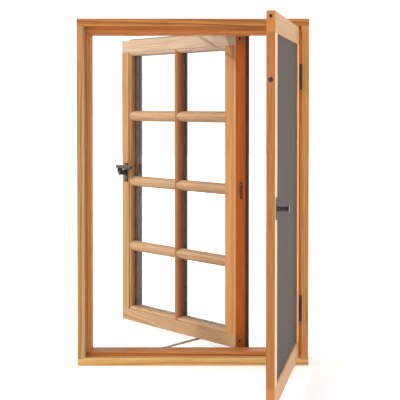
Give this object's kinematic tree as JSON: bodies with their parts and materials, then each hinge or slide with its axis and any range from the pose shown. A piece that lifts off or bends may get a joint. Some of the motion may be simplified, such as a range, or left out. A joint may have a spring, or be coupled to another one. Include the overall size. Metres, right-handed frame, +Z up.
{
  "type": "casement window",
  "caption": "Push-out wood casement window with divided glazing, sliding hinges, a lever lock and an inswing insect-screen door in one jamb frame.",
  "frame": {"origin": "middle of the sill's underside, halfway through the frame's depth", "axes": "+X right as seen from the room, +Y from the room to the outside, +Z up"},
  "size_m": [0.6096, 1.1352, 0.9144],
  "materials": {
    "frame_wood": "clear satin fir",
    "sash_wood": "clear satin fir",
    "screen_wood": "clear satin fir",
    "cladding": "dark bronze paint",
    "glass": "clear",
    "spacer": "bronze anodised",
    "rubber": "matt",
    "hinge_steel": "satin",
    "nylon": "satin",
    "dark_bronze": "satin oil-rubbed bronze",
    "black_hinge": "satin black",
    "screw_steel": "zinc plated",
    "catch_metal": "satin nickel",
    "mesh_cloth": "charcoal woven glass fibre"
  },
  "bodies": {
    "frame": {"head_jamb": "frame_wood", "sill": "frame_wood", "latch_jamb": "frame_wood", "hinge_jamb": "frame_wood", "head_stop": "frame_wood", "sill_stop": "frame_wood", "latch_stop": "frame_wood", "hinge_stop": "frame_wood", "head_and_sill_cladding": "cladding", "jamb_cladding": "cladding", "weatherstrip": "rubber", "bottom_hinge_track": "hinge_steel", "top_hinge_track": "hinge_steel", "frame_long_screws": "screw_steel", "frame_small_screws": "screw_steel", "snubber_hook": "dark_bronze", "lock_keepers": "hinge_steel", "screen_hinge_frame_leaves": "black_hinge", "screen_hinge_pins": "black_hinge", "screen_catch_strike": "catch_metal", "sill_button": "nylon"},
    "bottom_link": {"bottom_link": "hinge_steel"},
    "sash": {"sash_bottom_rail": "sash_wood", "sash_top_rail": "sash_wood", "sash_latch_stile": "sash_wood", "sash_hinge_stile": "sash_wood", "vertical_muntin": "sash_wood", "horizontal_muntins": "sash_wood", "outside_muntins": "cladding", "pane_spacer": "spacer", "inner_pane": "glass", "outer_pane": "glass", "setting_blocks": "rubber", "sash_rail_cladding": "cladding", "sash_stile_cladding": "cladding", "bottom_sash_arm": "hinge_steel", "top_sash_arm": "hinge_steel", "sash_edge_screws": "screw_steel", "sash_small_screws": "screw_steel", "snubber_plate": "dark_bronze", "lock_faceplate": "hinge_steel", "handle_plate": "dark_bronze"},
    "bottom_shoe": {"bottom_shoe": "nylon"},
    "top_shoe": {"top_shoe": "nylon"},
    "top_link": {"top_link": "hinge_steel"},
    "handle": {"handle_lever": "dark_bronze", "lock_pinion": "hinge_steel"},
    "lock_bar": {"lock_bar": "hinge_steel"},
    "screen": {"screen_bottom_rail": "screen_wood", "screen_top_rail": "screen_wood", "screen_latch_stile": "screen_wood", "screen_hinge_stile": "screen_wood", "screen_mesh": "mesh_cloth", "screen_beads": "screen_wood", "screen_hinge_door_leaves": "black_hinge", "screen_pull_plate": "dark_bronze", "screen_pull": "dark_bronze", "catch_barrel": "catch_metal", "screen_screws": "screw_steel"},
    "catch_plunger": {"catch_plunger": "catch_metal"}
  },
  "joints": [
    {"name": "bottom_link_pivot", "type": "hinge", "parent": "frame", "child": "bottom_link", "pos_m": [-0.08675, 0.042, 0.0222], "axis": [0, 0, 1], "range_deg": [-53.6, 24.4]},
    {"name": "sash_swing", "type": "hinge", "parent": "bottom_link", "child": "sash", "pos_m": [0.02006, 0.18688, 0.0222], "axis": [0, 0, 1], "range_deg": [-48.8, 107.2]},
    {"name": "bottom_shoe_pivot", "type": "hinge", "parent": "sash", "child": "bottom_shoe", "pos_m": [0.12688, 0.042, 0.0252], "axis": [0, 0, 1], "range_deg": [-53.6, 24.4]},
    {"name": "top_shoe_pivot", "type": "hinge", "parent": "sash", "child": "top_shoe", "pos_m": [0.12688, 0.042, 0.8892], "axis": [0, 0, 1], "range_deg": [-53.6, 24.4]},
    {"name": "top_link_pivot", "type": "hinge", "parent": "frame", "child": "top_link", "pos_m": [-0.08675, 0.042, 0.8922], "axis": [0, 0, 1], "range_deg": [-53.6, 24.4]},
    {"name": "handle_turn", "type": "hinge", "parent": "sash", "child": "handle", "pos_m": [-0.20771, 0.45876, 0.4827], "axis": [0.8049, 0.5934, 0], "range_deg": [0, 90]},
    {"name": "lock_bar_slide", "type": "slide", "parent": "sash", "child": "lock_bar", "axis": [0, 0, 1], "range_m": [0, 0.02122]},
    {"name": "screen_swing", "type": "hinge", "parent": "frame", "child": "screen", "pos_m": [0.2831, -0.073, 0.4572], "axis": [0, 0, 1], "range_deg": [-80, 90]},
    {"name": "catch_press", "type": "slide", "parent": "screen", "child": "catch_plunger", "axis": [0.1736, 0.9848, 0], "range_m": [0, 0.0017], "stiffness_N_per_m": 300}
  ],
  "couplings": [
    {"joint": "bottom_link_pivot", "follows": "sash_swing", "ratio": -0.5},
    {"joint": "bottom_shoe_pivot", "follows": "sash_swing", "ratio": -0.5},
    {"joint": "top_shoe_pivot", "follows": "sash_swing", "ratio": -0.5},
    {"joint": "top_link_pivot", "follows": "sash_swing", "ratio": -0.5},
    {"joint": "lock_bar_slide", "follows": "handle_turn", "m_per_rad": 0.0135}
  ]
}
